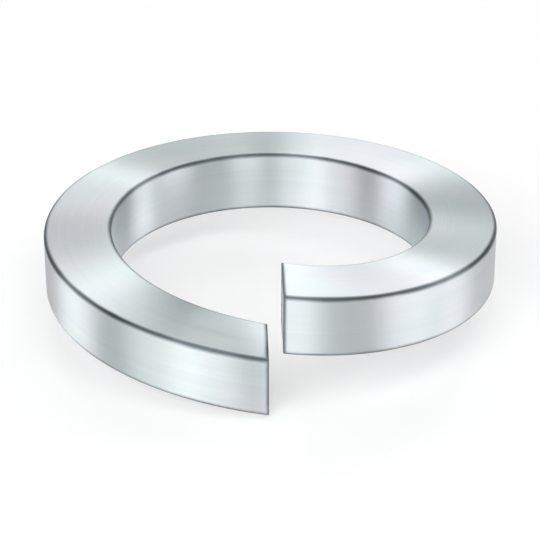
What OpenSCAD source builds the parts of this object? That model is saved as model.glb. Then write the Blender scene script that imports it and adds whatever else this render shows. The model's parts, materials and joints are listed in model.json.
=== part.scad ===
// Spring lock washer for a 12 mm bolt, drawn free, as it is before a nut flattens it.
// One length of near-square spring wire is coiled once round the bolt and cut through,
// and its two ends spring apart along the bolt.
// The bolt runs along +Z. The origin is on the bolt's axis, level with the lowest edge,
// and the split faces -Y. The coil climbs from the low end at the split's -X side,
// through -X, +Y and +X, to the high end at the split's +X side.

/* [Wire] */
// Diameter of the hole that the bolt passes through
bore_d = 12.2; // [6:0.1:40]
// Width of the wire, from the bore to the outer wall
wire_w = 2.6; // [1:0.05:6]
// Thickness of the wire at the middle of its width
wire_t = 2.4; // [1:0.05:6]
// How much thicker the wire is at the bore than at the outer wall
inner_extra = 0.15; // [0:0.01:0.4]
// Radius of the wire's four long edges
edge_r = 0.15; // [0.05:0.01:0.3]

/* [Spring] */
// How far the high end stands above the low end
end_offset = 2.5; // [0:0.1:8]
// How the climb gathers at the ends: 1 is an even helix, 3 leaves the back half nearly flat
climb_power = 3; // [1:0.5:4]
// Width of the split between the two cut ends
split_gap = 0.5; // [0.1:0.05:2]

/* [Hidden] */

bore_r = bore_d / 2;
outer_r = bore_r + wire_w;
wire_r = bore_r + wire_w / 2;

// Flat stretches along the coil, and in each rounded edge of the wire
coil_steps = 120;
edge_steps = 3;
// Sides of the round walls
$fn = 180;
// How far a cutting shape runs past what it cuts
clear = 1;

// The wire's upper face falls away from the bore at this angle, and its lower face rises
face_slope = atan(inner_extra / 2 / wire_w);
face_tilt = 90 - face_slope;
function half_t(r) = wire_t / 2 + (wire_r - r) * tan(face_slope);

// Angles round the bolt run from the middle of the split, through -X, to 360
function cut_angle(r) = asin(split_gap / 2 / r);
half_turn = 180 - cut_angle(wire_r);
function climb(angle) =
    let (turn = (angle - 180) / half_turn)
    end_offset / 2 * sign(turn) * pow(abs(turn), climb_power);

// The lowest edge is the low end's, where the lower face meets the rounding at the bore
face_r = bore_r + edge_r;
mid_z = half_t(face_r) - climb(cut_angle(face_r));
free_h = 2 * mid_z;

// The blank starts and stops inside the split, which then cuts its ends true
start_angle = cut_angle(outer_r) / 2;
function step_angle(i) = start_angle + i * (360 - 2 * start_angle) / coil_steps;

function edge_point(centre, angle) = centre + edge_r * [cos(angle), sin(angle)];
function edge_centre(r) = [r, half_t(r) - edge_r / cos(face_slope)];

// Upper edge at the outer wall, from the wall to the face. Its first flat carries on
// through the wall, so that the true cylinder cuts it there.
function outer_edge() =
    let (centre = edge_centre(outer_r - edge_r),
         arc = [for (i = [0 : edge_steps]) edge_point(centre, face_tilt * i / edge_steps)])
    concat([2 * arc[0] - arc[1]], [for (i = [1 : edge_steps]) arc[i]]);

// Upper edge at the bore, from the face to the wall, carried on through the wall
function inner_edge() =
    let (centre = edge_centre(bore_r + edge_r),
         sweep = 180 - face_tilt,
         arc = [for (i = [0 : edge_steps])
                edge_point(centre, face_tilt + sweep * i / edge_steps)])
    concat([for (i = [0 : edge_steps - 1]) arc[i]],
           [2 * arc[edge_steps] - arc[edge_steps - 1]]);

// Half of the section's outline as [radius, height], and the whole of it
upper_half = concat(outer_edge(), inner_edge());
section = concat(upper_half,
                 [for (i = [len(upper_half) - 1 : -1 : 0]) [upper_half[i][0], -upper_half[i][1]]]);

function coil_point(p, angle) =
    [-p[0] * sin(angle), -p[0] * cos(angle), p[1] + climb(angle) + mid_z];

// The wire's section carried once round the bolt, with faces from ring to ring
module coil_blank() {
    n = len(section);
    points = [for (i = [0 : coil_steps], p = section) coil_point(p, step_angle(i))];
    sides = [for (i = [0 : coil_steps - 1], j = [0 : n - 1])
             let (k = (j + 1) % n)
             each [[i * n + j, (i + 1) * n + j, (i + 1) * n + k],
                   [i * n + j, (i + 1) * n + k, i * n + k]]];
    low_end = [for (j = [0 : n - 1]) j];
    high_end = [for (j = [n - 1 : -1 : 0]) coil_steps * n + j];
    polyhedron(points = points, faces = concat([low_end], sides, [high_end]), convexity = 6);
}

// The round walls, at the bore and outside
module round_walls() {
    translate([0, 0, -clear]) difference() {
        cylinder(r = outer_r, h = free_h + 2 * clear);
        translate([0, 0, -clear]) cylinder(r = bore_r, h = free_h + 4 * clear);
    }
}

// The cut through the wire, with parallel faces
module split() {
    translate([-split_gap / 2, -outer_r - clear, -clear])
        cube([split_gap, outer_r + clear, free_h + 2 * clear]);
}

module lock_washer() {
    color("silver") difference() {
        intersection() {
            round_walls();
            coil_blank();
        }
        split();
    }
}

lock_washer();
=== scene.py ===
"""Spring lock washer for a 12 mm bolt: one coil of bright zinc-plated spring wire, cut through.

The washer is a section of wire carried once round the bolt. It has the same sizes as the
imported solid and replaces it, with finely rounded edges and sheared ends.
"""
import json
import math

import bpy
import numpy as np
from mathutils import Matrix, Vector


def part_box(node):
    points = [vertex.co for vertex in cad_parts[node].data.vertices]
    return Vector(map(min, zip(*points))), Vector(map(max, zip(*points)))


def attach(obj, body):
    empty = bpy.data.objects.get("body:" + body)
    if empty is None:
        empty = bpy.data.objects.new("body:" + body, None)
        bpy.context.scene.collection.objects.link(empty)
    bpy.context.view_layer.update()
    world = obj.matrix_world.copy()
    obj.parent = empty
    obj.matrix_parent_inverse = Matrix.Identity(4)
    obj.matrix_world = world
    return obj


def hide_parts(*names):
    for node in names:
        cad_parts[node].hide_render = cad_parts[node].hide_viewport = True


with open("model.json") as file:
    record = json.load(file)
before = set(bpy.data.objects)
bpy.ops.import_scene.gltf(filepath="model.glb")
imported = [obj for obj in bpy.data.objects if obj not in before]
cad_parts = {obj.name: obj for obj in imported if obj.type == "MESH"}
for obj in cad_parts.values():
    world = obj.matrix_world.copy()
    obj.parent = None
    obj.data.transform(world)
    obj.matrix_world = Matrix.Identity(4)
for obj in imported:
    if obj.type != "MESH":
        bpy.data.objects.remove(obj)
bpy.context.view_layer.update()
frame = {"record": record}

MM = 0.001

# Sizes of the washer, in millimetres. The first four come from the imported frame, and the
# others up to SPLIT_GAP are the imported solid's own.
bore_mount = next(m for m in frame["record"]["mounts"] if m["name"] == "bolt_bore")
node_low, node_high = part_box("lock_washer")
BORE_R = bore_mount["dims"]["r_mm"]
OUTER_R = (node_high.x - node_low.x) / 2 / MM
FREE_H = (node_high.z - node_low.z) / MM
WIRE_W = OUTER_R - BORE_R
WIRE_T = 2.4
INNER_EXTRA = 0.15
EDGE_R = 0.15
END_OFFSET = 2.5
CLIMB_POWER = 3
SPLIT_GAP = 0.5
# Radius that the shears leave on the cut ends' rims
RIM_R = 0.035

WIRE_R = BORE_R + WIRE_W / 2
FACE_SLOPE = math.atan(INNER_EXTRA / 2 / WIRE_W)


def linear(code):
    """sRGB hex colour as linear RGB: c/12.92 below 0.04045, else ((c + 0.055)/1.055)^2.4."""
    parts = [int(code[i:i + 2], 16) / 255 for i in (1, 3, 5)]
    return tuple(c / 12.92 if c <= 0.04045 else ((c + 0.055) / 1.055) ** 2.4 for c in parts)


def add_node(tree, kind, inputs=None, links=None, **settings):
    """Adds one node: its settings, the values of its inputs, and the sockets linked into it."""
    node = tree.nodes.new(kind)
    for name, value in settings.items():
        setattr(node, name, value)
    for name, value in (inputs or {}).items():
        node.inputs[name].default_value = value
    for name, socket in (links or {}).items():
        tree.links.new(socket, node.inputs[name])
    return node


# Camera, at the photograph's viewing angle, in degrees and millimetres

CAMERA_AZIMUTH = -1.4
CAMERA_ELEVATION = 27.06
CAMERA_DISTANCE = 82.3
# How far below the middle of the washer the camera's axis passes
CAMERA_DROP = 0.88
# The focal length in pixels of the photograph, and the photograph's width
FOCAL_PIXELS = 2122
PHOTO_SIZE = 540
SENSOR = 36
CLIP_NEAR = 1
CLIP_FAR = 10000


def make_camera():
    """A long lens that looks along the photograph's line of sight. Its place is the middle of
    the washer, plus the distance back along that line, less the drop across it."""
    turn, rise = math.radians(CAMERA_AZIMUTH), math.radians(CAMERA_ELEVATION)
    right = Vector((math.cos(turn), math.sin(turn), 0))
    back = Vector((math.sin(turn) * math.cos(rise), -math.cos(turn) * math.cos(rise), math.sin(rise)))
    up = back.cross(right)
    place = Vector((0, 0, FREE_H / 2)) + back * CAMERA_DISTANCE - up * CAMERA_DROP
    data = bpy.data.cameras.new("camera")
    data.sensor_width = SENSOR
    data.lens = SENSOR * FOCAL_PIXELS / PHOTO_SIZE
    data.clip_start, data.clip_end = CLIP_NEAR * MM, CLIP_FAR * MM
    camera = bpy.data.objects.new("camera", data)
    camera.matrix_world = Matrix.Translation(place * MM) @ Matrix((right, up, back)).transposed().to_4x4()
    bpy.context.scene.collection.objects.link(camera)
    bpy.context.scene.camera = camera


# Washer

# Steps of the grid: round a long edge, across the upper face, up a wall, round a cut's rim,
# along the coil, and from the middle of a cut face to its rim
ARC_STEPS = 8
FACE_STEPS = 16
WALL_STEPS = 14
RIM_STEPS = 4
COIL_STEPS = 480
CUT_STEPS = 15

# The blade sheared the outer part of a cut face smooth, and the rest broke off. How far
# outside the wire's middle the break starts, how wide its shoulder is and how deep it goes
BREAK_START = 0.3
BREAK_SHOULDER = 0.2
BREAK_DEPTH = 0.06
# The break's lumps: their size, and their share of its depth
LUMP_SIZE = 0.35
LUMP_SHARE = 0.6
# The share of the way from the rim to the middle over which the break rises to the rim
RIM_SHARE = 0.2


def half_thickness(radius):
    """Half of the wire's thickness: half of WIRE_T, plus the distance from the middle towards
    the bore times the tangent of FACE_SLOPE."""
    return WIRE_T / 2 + (WIRE_R - radius) * math.tan(FACE_SLOPE)


def edge_arc(radius, start, stop):
    """A long edge's quarter round: a circle of EDGE_R that touches the face and the wall. Its
    points are the circle's middle plus EDGE_R times their normals, (cos a, sin a)."""
    middle = np.array([radius, half_thickness(radius) - EDGE_R / math.cos(FACE_SLOPE)])
    angle = np.linspace(start, stop, ARC_STEPS + 1)
    out = np.stack([np.cos(angle), np.sin(angle)], axis=-1)
    return middle + EDGE_R * out, out


def flat_run(start, stop, steps):
    """Points between two ends, closer together near both: the share is (1 - cos(pi k/n))/2."""
    share = (1 - np.cos(np.pi * np.arange(1, steps) / steps)) / 2
    return start + share[:, None] * (stop - start)


def wire_section():
    """The section's outline as [radius, height], its outward normals, and how far each point
    lies from the crest of the nearest rounded edge, measured along the outline. The upper
    half runs from the middle of the outer wall over the upper face to the middle of the bore
    wall, and the lower half mirrors it."""
    face_angle = math.pi / 2 - FACE_SLOPE
    outer, outer_out = edge_arc(OUTER_R - EDGE_R, 0, face_angle)
    inner, inner_out = edge_arc(BORE_R + EDGE_R, face_angle, math.pi)
    face = flat_run(outer[-1], inner[0], FACE_STEPS)
    # A wall's run goes from edge to edge, and half of it is in the upper half
    outer_wall = flat_run(outer[0] * [1, -1], outer[0], WALL_STEPS)[WALL_STEPS // 2 - 1:]
    inner_wall = flat_run(inner[-1], inner[-1] * [1, -1], WALL_STEPS)[:WALL_STEPS // 2]
    upper = [outer_wall, outer, face, inner, inner_wall]
    outs = [np.tile([1.0, 0.0], (len(outer_wall), 1)), outer_out,
            np.tile(outer_out[-1], (len(face), 1)), inner_out,
            np.tile([-1.0, 0.0], (len(inner_wall), 1))]
    crest = [(np.arange(len(p)) == ARC_STEPS // 2) & (p is outer or p is inner) for p in upper]
    points, outs, crest = np.concatenate(upper), np.concatenate(outs), np.concatenate(crest)
    # The middles of both walls are there already
    lower = slice(-2, 0, -1)
    points = np.concatenate([points, points[lower] * [1, -1]])
    outs = np.concatenate([outs, outs[lower] * [1, -1]])
    crest = np.concatenate([crest, crest[lower]])
    length = np.linalg.norm(np.roll(points, -1, axis=0) - points, axis=1)
    along = np.cumsum(length) - length
    gap = np.abs(along[:, None] - along[crest])
    return points, outs, np.minimum(gap, length.sum() - gap).min(axis=1)


def cut_angle(radius, depth=0):
    """Angle from the middle of the split to the plane that lies depth behind a cut face."""
    return np.arcsin((SPLIT_GAP / 2 + depth) / radius)


def climb(angle):
    """Height of the coil's middle over its mean: half the offset times the turn to a power."""
    turn = (angle - math.pi) / (math.pi - cut_angle(WIRE_R))
    return END_OFFSET / 2 * np.sign(turn) * np.abs(turn) ** CLIMB_POWER


def smooth(share):
    """3t^2 - 2t^3, with t held between 0 and 1."""
    share = np.clip(share, 0, 1)
    return share * share * (3 - 2 * share)


def lumps(across, up, seed):
    """Smooth noise from 0 to 1: random values at the corners of squares of LUMP_SIZE, blended
    from corner to corner. There are more squares than the section needs."""
    count = 32
    corner = np.random.default_rng(seed).random((count, count))
    u, v = across / LUMP_SIZE + count / 2, up / LUMP_SIZE + count / 2
    i, j = np.floor(u).astype(int), np.floor(v).astype(int)
    s, t = smooth(u - i), smooth(v - j)
    low = corner[i, j] * (1 - s) + corner[i + 1, j] * s
    high = corner[i, j + 1] * (1 - s) + corner[i + 1, j + 1] * s
    return low * (1 - t) + high * t


def break_depth(across, up, inward, seed):
    """How deep a cut face lies behind its plane. It is BREAK_DEPTH times three shares: a smooth
    step from 0 on the sheared part to 1 on the broken part, a smooth step from 0 at the rim
    to 1 at RIM_SHARE, and the lumps. Inward is the share of the way from the rim to the
    middle."""
    broken = smooth((BREAK_START - across) / BREAK_SHOULDER + 0.5) * smooth(inward / RIM_SHARE)
    return BREAK_DEPTH * broken * (1 - LUMP_SHARE + LUMP_SHARE * lumps(across, up, seed))


def washer_grid():
    """Rings of the section, from the middle of one cut face to the middle of the other.

    A ring has a share of the turn, a depth behind the nearer cut's plane, an inset and a
    spread. The rings of a cut face are the section drawn in towards its middle to that
    spread, as deep as break_depth says. The rings within RIM_R of a cut follow a quarter
    circle, which rounds the rim. A point at radius r and angle a is
    (-r sin a, -r cos a, height + climb(a) + half of FREE_H). With the points come their
    places on the wire, as distances along it, across it and up it from its middle, and their
    distances from the nearest long edge or cut.
    """
    section, outs, from_crest = wire_section()
    cut = np.arange(1, CUT_STEPS) / CUT_STEPS
    rim = np.linspace(0, math.pi / 2, RIM_STEPS + 1)[:-1]
    coil = np.linspace(0, 1, COIL_STEPS + 1)
    spread = np.concatenate([cut, rim * 0 + 1, coil * 0 + 1, rim * 0 + 1, cut[::-1]])
    share = np.concatenate([cut * 0, rim * 0, coil, rim * 0 + 1, cut * 0 + 1])
    depth_in, inset_in = RIM_R * (1 - np.cos(rim)), RIM_R * (1 - np.sin(rim))
    depth = np.concatenate([cut * 0, depth_in, coil * 0 + RIM_R, depth_in[::-1], cut * 0])
    inset = np.concatenate([cut * 0 + RIM_R, inset_in, coil * 0, inset_in[::-1], cut * 0 + RIM_R])
    profile = section - inset[:, None, None] * outs
    middle = np.array([WIRE_R, 0])
    profile = middle + spread[:, None, None] * (profile - middle)
    radius, height = profile[..., 0], profile[..., 1]
    # Each cut face has lumps of its own
    pits = [break_depth(radius - WIRE_R, height, 1 - spread[:, None], seed) for seed in (1, 2)]
    depth = depth[:, None] + np.where(share[:, None] < 0.5, *pits)
    start = cut_angle(radius, depth)
    angle = start + share[:, None] * (2 * math.pi - 2 * start)
    spots = np.stack([-radius * np.sin(angle), -radius * np.cos(angle),
                      height + climb(angle) + FREE_H / 2], axis=-1)
    wire = np.stack([(angle - math.pi) * WIRE_R, radius - WIRE_R, height], axis=-1)
    start = cut_angle(radius)
    from_cut = radius * np.minimum(angle - start, 2 * math.pi - start - angle)
    return spots, wire, np.minimum(from_crest, from_cut)


def make_washer(metal, sheared):
    """The grid's quads round the wire and over both cut faces, with one small face at the
    middle of each cut."""
    spots, wire, edge = washer_grid()
    rings, n = spots.shape[:2]
    ring, here = np.meshgrid(np.arange(rings - 1), np.arange(n), indexing="ij")
    there = (here + 1) % n
    quads = np.stack([ring * n + here, ring * n + there,
                      (ring + 1) * n + there, (ring + 1) * n + here], axis=-1).reshape(-1, 4)
    low_middle = np.arange(n)[::-1]
    high_middle = (rings - 1) * n + np.arange(n)
    mesh = bpy.data.meshes.new("lock_washer")
    mesh.from_pydata((spots.reshape(-1, 3) * MM).tolist(), [],
                     quads.tolist() + [low_middle.tolist(), high_middle.tolist()])
    mesh.polygons.foreach_set("use_smooth", np.ones(len(mesh.polygons), bool))
    mesh.materials.append(metal)
    mesh.materials.append(sheared)
    on_cut = (ring < CUT_STEPS - 1) | (ring >= rings - CUT_STEPS)
    slots = np.append(on_cut.ravel(), [True, True]).astype(np.int32)
    mesh.polygons.foreach_set("material_index", slots)
    mesh.attributes.new("wire", "FLOAT_VECTOR", "POINT").data.foreach_set("vector", wire.ravel())
    mesh.attributes.new("edge", "FLOAT", "POINT").data.foreach_set("value", edge.ravel())
    # The map's first direction runs along the wire, and its second round the section. The
    # faces at the middles are mapped by their places across the wire and up it.
    along = wire[..., 0] / (2 * math.pi * WIRE_R) + 0.5
    round_u = np.stack([along[ring, here], along[ring, there],
                        along[ring + 1, there], along[ring + 1, here]], axis=-1)
    round_v = np.stack([here, here + 1, here + 1, here], axis=-1) / n
    middles = np.concatenate([wire[0, ::-1, 1:], wire[-1, :, 1:]]) / (2 * WIRE_T) + 0.5
    flat = np.concatenate([np.stack([round_u, round_v], axis=-1).reshape(-1, 2), middles])
    mesh.uv_layers.new(name="along_wire").data.foreach_set("uv", flat.ravel())
    mesh.update()
    washer = bpy.data.objects.new("coiled_wire", mesh)
    bpy.context.scene.collection.objects.link(washer)
    return washer


# Materials, with the sizes of their patterns in millimetres

# Lines that the drawing die left: how far apart they are, and how long. The real ones are
# finer, and these are as coarse as they need to be to show.
FINE_APART = 0.09
FINE_LENGTH = 9
BROAD_APART = 0.45
BROAD_LENGTH = 30
# Noise of the lines in a groove and on a ridge, the tone and the roughness there, and the
# rise in the bump from noise of 0 to noise of 1
GROOVE_NOISE = 0.3
RIDGE_NOISE = 0.7
GROOVE_TONE = 0.94
RIDGE_TONE = 1.03
GROOVE_ROUGHNESS = 0.37
RIDGE_ROUGHNESS = 0.45
LINE_RISE = 0.01
# Patches of tint in the passivation, and the layer of noise that lays them out. The tint is
# green where that noise is under GREEN_UNDER, and violet where it is over VIOLET_OVER. The layer
# puts the greener, darker patches where the reflections are dark in the camera's view, so
# they are partly painted shade.
TINT_PATCH = 5
PASSIVATION_AND_SHADE_LAYER = 30
GREEN_UNDER = 0.4
VIOLET_OVER = 0.6
# The dark stripe along each edge is painted shade that outlines the edge, over some grey of
# zinc that the plating current burnt there. It fades out the reach below from an edge's
# crest, give or take the waver below, which changes over WAVER_LENGTH
BURN_AND_EDGE_SHADE_REACH = 0.17
BURN_AND_EDGE_SHADE_WAVER = 0.04
WAVER_LENGTH = 1.5
# Drag lines on a cut face's burnished band, and the grain of its break, as coarse as they
# need to be to show. Either is dark where its noise is under DARK_UNDER, and pale where it is
# over PALE_OVER, and rises by CUT_RISE in the bump from noise of 0 to noise of 1.
DRAG_APART = 0.12
DRAG_LENGTH = 3
GRAIN_SIZE = 0.2
DARK_UNDER = 0.35
PALE_OVER = 0.65
CUT_RISE = 0.05
BREAK_ROUGHNESS = 0.5
BAND_ROUGHNESS = 0.3
# The ragged line between band and break: the size of its turns, their reach, and its blur
RAGGED_LENGTH = 0.6
RAGGED_REACH = 0.25
RAGGED_BLUR = 0.04


def die_lines(tree, wire, apart, length, detail):
    """Noise stretched along the wire: its place along the wire is divided by the lines' length,
    and its places across the wire and up it by how far they are apart."""
    at = add_node(tree, "ShaderNodeMapping", {"Scale": (1 / length, 1 / apart, 1 / apart)},
                  {"Vector": wire.outputs["Vector"]})
    return add_node(tree, "ShaderNodeTexNoise", {"Scale": 1, "Detail": detail, "Roughness": 0.6},
                    {"Vector": at.outputs[0]})


def shades(low, high):
    """The two colours that a mix runs between, from sRGB hex."""
    return {"A": (*linear(low), 1), "B": (*linear(high), 1)}


def zinc_plated_spring_steel():
    """Bright zinc over drawn spring wire: a cool, slightly bluish metal. The drawing die left
    fine lines along the wire, so its shine spreads across them and breaks into bands. Its
    passivation drifts from a green to a violet tint, and the greener, darker patches are painted
    shade where the reflections are dark in the camera's view. Along the sharp edges the plating
    current is highest and burns the zinc grey. The dark grey stripe there is also painted
    shade that outlines the edges."""
    material = bpy.data.materials.new("bright_zinc_plated_spring_steel")
    material.use_nodes = True
    tree = material.node_tree
    tree.nodes.clear()
    wire = add_node(tree, "ShaderNodeAttribute", attribute_name="wire")
    edge = add_node(tree, "ShaderNodeAttribute", attribute_name="edge")
    place = add_node(tree, "ShaderNodeTexCoord")
    fine = die_lines(tree, wire, FINE_APART, FINE_LENGTH, 3)
    broad = die_lines(tree, wire, BROAD_APART, BROAD_LENGTH, 2)
    lines = add_node(tree, "ShaderNodeMix", {"Factor": 0.5},
                     {"A": fine.outputs[0], "B": broad.outputs[0]})
    # The blue passivation over the zinc drifts between a green and a violet tint, and its greener,
    # darker patches are painted shade where the reflections are dark in the camera's view
    passivation_and_shade_drift = add_node(tree, "ShaderNodeTexNoise",
                     {"Scale": 1 / (TINT_PATCH * MM), "Detail": 2, "W": PASSIVATION_AND_SHADE_LAYER},
                     {"Vector": place.outputs["Object"]}, noise_dimensions="4D")
    passivation_and_shade_drift = add_node(tree, "ShaderNodeMapRange", {"From Min": GREEN_UNDER, "From Max": VIOLET_OVER},
                     {"Value": passivation_and_shade_drift.outputs[0]})
    passivation_and_shade_tint = add_node(tree, "ShaderNodeMix", shades("#D8E1E2", "#E2E5EA"),
                    {"Factor": passivation_and_shade_drift.outputs[0]}, data_type="RGBA")
    # The lines' grooves are a little darker than their ridges
    line_tone = add_node(tree, "ShaderNodeMapRange",
                         {"From Min": GROOVE_NOISE, "From Max": RIDGE_NOISE,
                          "To Min": GROOVE_TONE, "To Max": RIDGE_TONE},
                         {"Value": lines.outputs[0]})
    zinc = add_node(tree, "ShaderNodeVectorMath", links={0: passivation_and_shade_tint.outputs[2], 1: line_tone.outputs[0]},
                    operation="MULTIPLY")
    # Noise around a half moves the limit of the dark edge stripe, painted shade over burnt zinc,
    # to and fro by up to the stripe's waver
    waver = add_node(tree, "ShaderNodeTexNoise", {"Scale": 1 / (WAVER_LENGTH * MM), "Detail": 3},
                     {"Vector": place.outputs["Object"]})
    from_edge = add_node(tree, "ShaderNodeMath", {1: 2 * BURN_AND_EDGE_SHADE_WAVER},
                         {0: waver.outputs[0], 2: edge.outputs["Fac"]}, operation="MULTIPLY_ADD")
    burn_and_edge_shade = add_node(tree, "ShaderNodeMapRange",
                     {"From Min": BURN_AND_EDGE_SHADE_REACH + BURN_AND_EDGE_SHADE_WAVER, "From Max": BURN_AND_EDGE_SHADE_WAVER},
                     {"Value": from_edge.outputs[0]}, interpolation_type="SMOOTHSTEP")
    # The edges' dark grey: painted shade along them, over zinc burnt grey there
    colour = add_node(tree, "ShaderNodeMix", {"B": (*linear("#667075"), 1)},
                      {"Factor": burn_and_edge_shade.outputs[0], "A": zinc.outputs[0]}, data_type="RGBA")
    rough = add_node(tree, "ShaderNodeMapRange",
                     {"From Min": GROOVE_NOISE, "From Max": RIDGE_NOISE,
                      "To Min": GROOVE_ROUGHNESS, "To Max": RIDGE_ROUGHNESS},
                     {"Value": lines.outputs[0]})
    bump = add_node(tree, "ShaderNodeBump", {"Strength": 0.3, "Distance": LINE_RISE * MM},
                    {"Height": lines.outputs[0]})
    # The tangent runs along the wire, and a quarter turn spreads the shine across the lines
    along = add_node(tree, "ShaderNodeTangent", direction_type="UV_MAP", uv_map="along_wire")
    shader = add_node(tree, "ShaderNodeBsdfPrincipled",
                      {"Metallic": 1, "Anisotropic": 1, "Anisotropic Rotation": 0.25},
                      {"Base Color": colour.outputs[2], "Roughness": rough.outputs[0],
                       "Normal": bump.outputs[0], "Tangent": along.outputs[0]})
    add_node(tree, "ShaderNodeOutputMaterial", links={"Surface": shader.outputs[0]})
    return material


def sheared_end():
    """The cut faces, plated after shearing. The blade came in from the outer wall and left a
    burnished band with drag lines. The rest broke off, and is darker, duller and grainy."""
    material = bpy.data.materials.new("sheared_zinc_plated_steel")
    material.use_nodes = True
    tree = material.node_tree
    tree.nodes.clear()
    wire = add_node(tree, "ShaderNodeAttribute", attribute_name="wire")
    wire_xyz = add_node(tree, "ShaderNodeSeparateXYZ", links={0: wire.outputs["Vector"]})
    # Drag lines run the way that the blade went through the wire, which is across it
    drag_at = add_node(tree, "ShaderNodeMapping", {"Scale": (1, 1 / DRAG_LENGTH, 1 / DRAG_APART)},
                       {"Vector": wire.outputs["Vector"]})
    drag = add_node(tree, "ShaderNodeTexNoise", {"Scale": 1, "Detail": 2}, {"Vector": drag_at.outputs[0]})
    drag_tone = add_node(tree, "ShaderNodeMapRange", {"From Min": DARK_UNDER, "From Max": PALE_OVER},
                         {"Value": drag.outputs[0]})
    dragged = add_node(tree, "ShaderNodeMix", shades("#BCC3C6", "#E0E4E7"),
                       {"Factor": drag_tone.outputs[0]}, data_type="RGBA")
    grain = add_node(tree, "ShaderNodeTexNoise", {"Scale": 1 / GRAIN_SIZE, "Detail": 4, "Roughness": 0.6},
                     {"Vector": wire.outputs["Vector"]})
    grain_tone = add_node(tree, "ShaderNodeMapRange", {"From Min": DARK_UNDER, "From Max": PALE_OVER},
                          {"Value": grain.outputs[0]})
    broken = add_node(tree, "ShaderNodeMix", shades("#90979C", "#C1C6C9"),
                      {"Factor": grain_tone.outputs[0]}, data_type="RGBA")
    # The break starts BREAK_START outside the wire's middle. Noise around a half moves the
    # line to and fro by up to RAGGED_REACH.
    ragged = add_node(tree, "ShaderNodeTexNoise", {"Scale": 1 / RAGGED_LENGTH, "Detail": 3},
                      {"Vector": wire.outputs["Vector"]})
    line = add_node(tree, "ShaderNodeMath", {1: 2 * RAGGED_REACH, 2: BREAK_START - RAGGED_REACH},
                    {0: ragged.outputs[0]}, operation="MULTIPLY_ADD")
    past = add_node(tree, "ShaderNodeMath", links={0: wire_xyz.outputs["Y"], 1: line.outputs[0]},
                    operation="SUBTRACT")
    burnished = add_node(tree, "ShaderNodeMapRange", {"From Min": -RAGGED_BLUR, "From Max": RAGGED_BLUR},
                         {"Value": past.outputs[0]}, interpolation_type="SMOOTHSTEP")
    height = add_node(tree, "ShaderNodeMix",
                      links={"Factor": burnished.outputs[0], "A": grain.outputs[0], "B": drag.outputs[0]})
    colour = add_node(tree, "ShaderNodeMix",
                      links={"Factor": burnished.outputs[0], "A": broken.outputs[2], "B": dragged.outputs[2]},
                      data_type="RGBA")
    rough = add_node(tree, "ShaderNodeMapRange", {"To Min": BREAK_ROUGHNESS, "To Max": BAND_ROUGHNESS},
                     {"Value": burnished.outputs[0]})
    bump = add_node(tree, "ShaderNodeBump", {"Strength": 0.6, "Distance": CUT_RISE * MM},
                    {"Height": height.outputs[0]})
    shader = add_node(tree, "ShaderNodeBsdfPrincipled", {"Metallic": 1},
                      {"Base Color": colour.outputs[2], "Roughness": rough.outputs[0],
                       "Normal": bump.outputs[0]})
    add_node(tree, "ShaderNodeOutputMaterial", links={"Surface": shader.outputs[0]})
    return material


# Studio, in millimetres

FLOOR_R = 3000
# What the floor's brightness gains over its paint's, which rises to 1 between these distances
# from the washer
FLOOR_LIFT = 0.46
FADE_START = 120
FADE_END = 300
TENT_R = 400
TENT_COLUMNS = 120
TENT_ROWS = 36
# Brightness of the cloth between the panels
TENT_GREY = 0.13
# Lit panels of the tent: the middle's angle round the washer from the camera's side towards
# +X, the half width, the middle's height above the floor, the half height, all in degrees,
# and the brightness
PANELS = [
    (-25, 20, 40, 15, 5.8),    # main light, front left
    (-50, 20, 20, 12, 3.8),    # left of it, lower
    (-105, 15, 10, 25, 3),     # left side
    (-170, 6, 45, 12, 7.7),    # strip behind, high
    (180, 10, 15, 10, 2.3),    # behind, low
    (160, 6, 40, 12, 6.6),     # strip behind, to the right
    (105, 12, 25, 12, 5.3),    # right side
    (70, 15, 0, 12, 6),        # right, on the floor
    (50, 50, 65, 12, 3.1),     # overhead, to the right
    (15, 12, 5, 20, 4),        # front, beside the camera
]


def tent_light(turn, rise):
    """Brightness of the tent in a direction. A panel adds its brightness times
    exp(-x^4 - y^2), with x and y the angles from its middle as shares of its half width and
    half height."""
    light = np.full(turn.shape, TENT_GREY)
    for middle, half_width, up, half_height, brightness in PANELS:
        x = ((turn - middle + 180) % 360 - 180) / half_width
        y = (rise - up) / half_height
        light += brightness * np.exp(-x ** 4 - y ** 2)
    return light


def make_tent():
    """A tent of grey cloth, half of a ball of TENT_R, with soft-edged panels lit from behind. A
    point at an angle around and an angle above the floor is the radius times
    (cos above sin around, -cos above cos around, sin above)."""
    turn, rise = np.meshgrid(np.arange(TENT_COLUMNS) * 360 / TENT_COLUMNS,
                             np.linspace(0, 90, TENT_ROWS + 1), indexing="ij")
    around, above = np.radians(turn), np.radians(rise)
    spots = TENT_R * np.stack([np.cos(above) * np.sin(around), -np.cos(above) * np.cos(around),
                               np.sin(above)], axis=-1)
    column, row = np.meshgrid(np.arange(TENT_COLUMNS), np.arange(TENT_ROWS), indexing="ij")
    here, there = column * (TENT_ROWS + 1) + row, (column + 1) % TENT_COLUMNS * (TENT_ROWS + 1) + row
    quads = np.stack([here, here + 1, there + 1, there], axis=-1).reshape(-1, 4)
    mesh = bpy.data.meshes.new("light_tent")
    mesh.from_pydata((spots.reshape(-1, 3) * MM).tolist(), [], quads.tolist())
    mesh.attributes.new("light", "FLOAT", "POINT").data.foreach_set("value", tent_light(turn, rise).ravel())
    material = bpy.data.materials.new("tent_cloth")
    material.use_nodes = True
    tree = material.node_tree
    tree.nodes.clear()
    light = add_node(tree, "ShaderNodeAttribute", attribute_name="light")
    glow = add_node(tree, "ShaderNodeEmission", {"Color": (1, 1, 1, 1)}, {"Strength": light.outputs["Fac"]})
    add_node(tree, "ShaderNodeOutputMaterial", links={"Surface": glow.outputs[0]})
    mesh.materials.append(material)
    tent = bpy.data.objects.new("light_tent", mesh)
    tent.visible_camera = False
    bpy.context.scene.collection.objects.link(tent)


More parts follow.
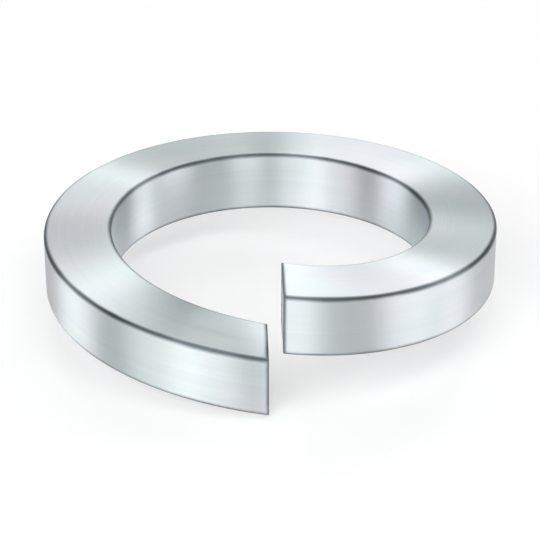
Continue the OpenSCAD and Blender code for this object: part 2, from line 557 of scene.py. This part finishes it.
def make_floor():
    """A matt pale floor level with the washer's lowest edge. Camera, glossy and transmission
    rays see it FLOOR_LIFT brighter than its paint, which makes it white and leaves its shadow.
    Far from the washer the lift rises to 1, so that a low view ends in white too."""
    mesh = bpy.data.meshes.new("floor")
    far = FLOOR_R * MM
    mesh.from_pydata([(-far, -far, 0), (far, -far, 0), (far, far, 0), (-far, far, 0)], [],
                     [(0, 1, 2, 3)])
    material = bpy.data.materials.new("matt_white_card")
    material.use_nodes = True
    tree = material.node_tree
    tree.nodes.clear()
    path = add_node(tree, "ShaderNodeLightPath")
    seen = add_node(tree, "ShaderNodeMath", links={0: path.outputs["Is Camera Ray"],
                                                   1: path.outputs["Is Glossy Ray"]}, operation="ADD")
    seen = add_node(tree, "ShaderNodeMath", links={0: seen.outputs[0],
                                                   1: path.outputs["Is Transmission Ray"]}, operation="ADD")
    place = add_node(tree, "ShaderNodeTexCoord")
    away = add_node(tree, "ShaderNodeVectorMath", links={0: place.outputs["Object"]}, operation="LENGTH")
    fade = add_node(tree, "ShaderNodeMapRange",
                    {"From Min": FADE_START * MM, "From Max": FADE_END * MM, "To Min": FLOOR_LIFT},
                    {"Value": away.outputs["Value"]}, interpolation_type="SMOOTHSTEP")
    lift = add_node(tree, "ShaderNodeMath", links={0: seen.outputs[0], 1: fade.outputs[0]},
                    operation="MULTIPLY")
    glow = add_node(tree, "ShaderNodeEmission", {"Color": (1, 1, 1, 1)}, {"Strength": lift.outputs[0]})
    paint = add_node(tree, "ShaderNodeBsdfDiffuse", {"Color": (*linear("#C0C0C0"), 1)})
    both = add_node(tree, "ShaderNodeAddShader", links={0: paint.outputs[0], 1: glow.outputs[0]})
    add_node(tree, "ShaderNodeOutputMaterial", links={"Surface": both.outputs[0]})
    mesh.materials.append(material)
    floor = bpy.data.objects.new("floor", mesh)
    bpy.context.scene.collection.objects.link(floor)


def make_world():
    """White behind everything, seen only where a view looks past the floor."""
    world = bpy.data.worlds.new("studio")
    bpy.context.scene.world = world
    world.use_nodes = True
    tree = world.node_tree
    tree.nodes.clear()
    sky = add_node(tree, "ShaderNodeBackground", {"Color": (1, 1, 1, 1), "Strength": 1})
    add_node(tree, "ShaderNodeOutputWorld", links={"Surface": sky.outputs[0]})


make_camera()
washer = make_washer(zinc_plated_spring_steel(), sheared_end())
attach(washer, "root")
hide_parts("lock_washer")
make_world()
make_floor()
make_tent()
bpy.context.scene.view_settings.view_transform = "Standard"
